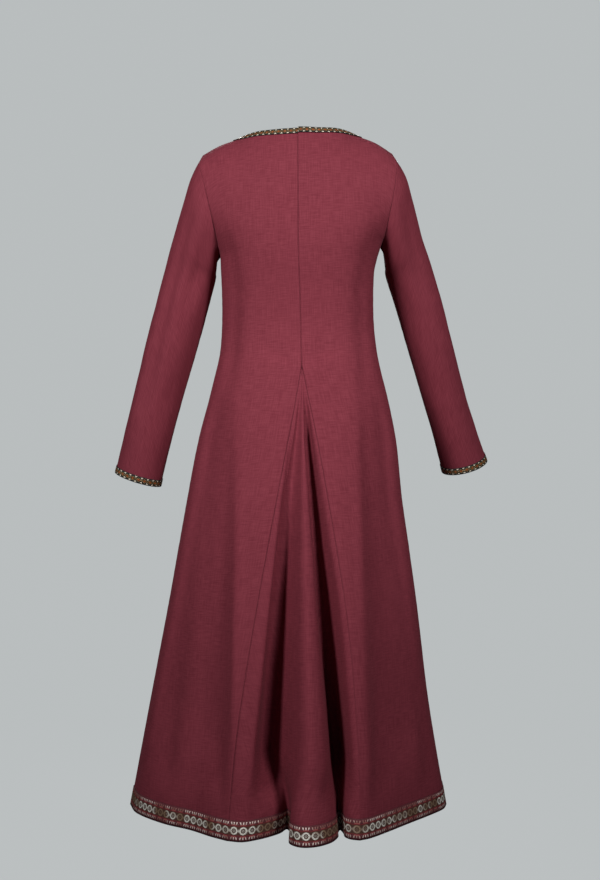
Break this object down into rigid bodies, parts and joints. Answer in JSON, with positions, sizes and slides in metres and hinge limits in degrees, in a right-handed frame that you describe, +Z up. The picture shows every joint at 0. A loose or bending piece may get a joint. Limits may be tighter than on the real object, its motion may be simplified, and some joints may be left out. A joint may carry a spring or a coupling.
{
  "type": "medieval dress",
  "caption": "Long-sleeved floor-length medieval gown, fitted above and flared below, with a back godet, braided neck and cuffs and a ribbon hem, in its worn form.",
  "frame": {"origin": "middle of the neck opening, level with the points where the neckline crosses the shoulders", "axes": "+Z up, the gown's front faces -Y, its back +Y, the wearer's left is +X"},
  "size_m": [0.7415, 0.5195, 1.2753],
  "materials": {
    "gown_cloth": "matte plain weave",
    "narrow_braid": "woven braid with a dull metal thread",
    "hem_ribbon": "woven ribbon with a dull metal thread"
  },
  "bodies": {
    "root": {"back_left": "gown_cloth", "back_right": "gown_cloth", "back_godet": "gown_cloth", "front": "gown_cloth", "sleeve_left": "gown_cloth", "sleeve_right": "gown_cloth", "neck_trim": "narrow_braid", "hem_trim": "hem_ribbon", "cuff_trim_left": "narrow_braid", "cuff_trim_right": "narrow_braid"}
  },
  "joints": []
}
